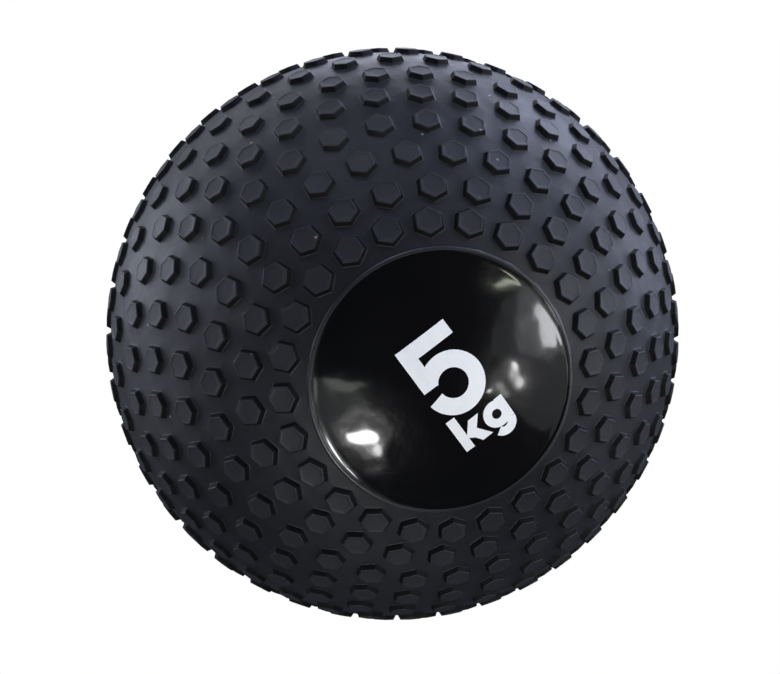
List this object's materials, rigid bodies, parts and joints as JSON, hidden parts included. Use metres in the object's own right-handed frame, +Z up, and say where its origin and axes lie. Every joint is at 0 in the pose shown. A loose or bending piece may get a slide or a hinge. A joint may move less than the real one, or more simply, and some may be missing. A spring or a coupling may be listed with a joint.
{
  "type": "slam ball",
  "caption": "Heavy dead-bounce exercise ball with a rubber shell covered in hexagonal studs, a smooth round label land, a fill plug at the back and loose sand inside.",
  "frame": {"origin": "centre of the ball", "axes": "-Y out of the label land at the front, +Y out of the fill plug at the back, +Z up"},
  "size_m": [0.2298, 0.2261, 0.2298],
  "materials": {
    "shell_rubber": "matte moulded rubber, near black with a blue-grey bloom",
    "plug_rubber": "satin moulded rubber, near black",
    "valve_rubber": "soft satin rubber, black",
    "sand": "dry fine sand"
  },
  "bodies": {
    "root": {"shell_front": "shell_rubber", "shell_rear": "shell_rubber", "fill_plug": "plug_rubber", "valve_insert": "valve_rubber", "sand_fill": "sand"}
  },
  "joints": []
}
